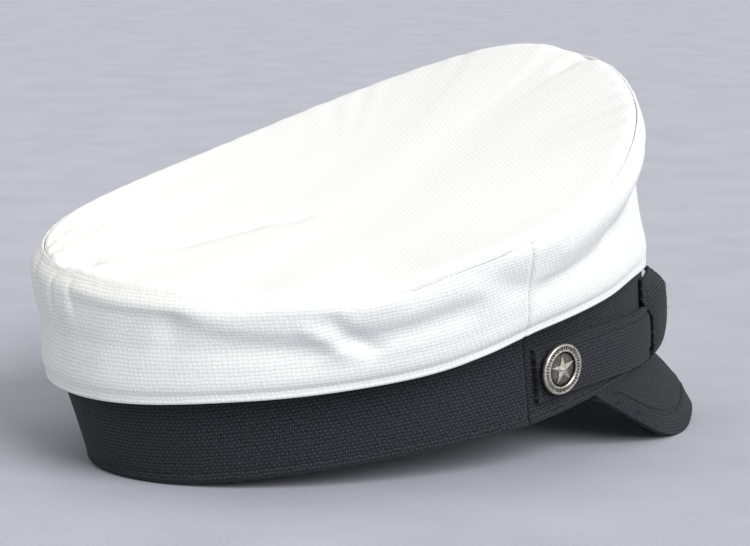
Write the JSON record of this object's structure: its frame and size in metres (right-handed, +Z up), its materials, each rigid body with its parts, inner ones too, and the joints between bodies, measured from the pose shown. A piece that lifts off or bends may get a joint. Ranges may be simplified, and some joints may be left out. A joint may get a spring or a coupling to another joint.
{
  "type": "sailor cap",
  "caption": "Soft white canvas sailor cap with a black band, short peak, front strap in belt loops and star buttons, lying on its band's back edge and its peak.",
  "frame": {"origin": "on the surface the cap lies on, under the middle of its box", "axes": "+Z up; the peak points along -Y and the back of the cap along +Y; the wearer's right side is -X"},
  "size_m": [0.2252, 0.2614, 0.1422],
  "materials": {
    "white_canvas": "matte plain-weave cotton canvas",
    "black_canvas": "matte coarse plain-weave canvas",
    "old_silver": "antique silver, satin with darkened hollows"
  },
  "bodies": {
    "root": {"band_front": "black_canvas", "band_rear": "black_canvas", "crown_front": "white_canvas", "crown_rear": "white_canvas", "crown_top": "white_canvas", "peak": "black_canvas", "strap": "black_canvas", "loop_right": "black_canvas", "loop_left": "black_canvas", "button_right": "old_silver", "button_left": "old_silver"}
  },
  "joints": []
}
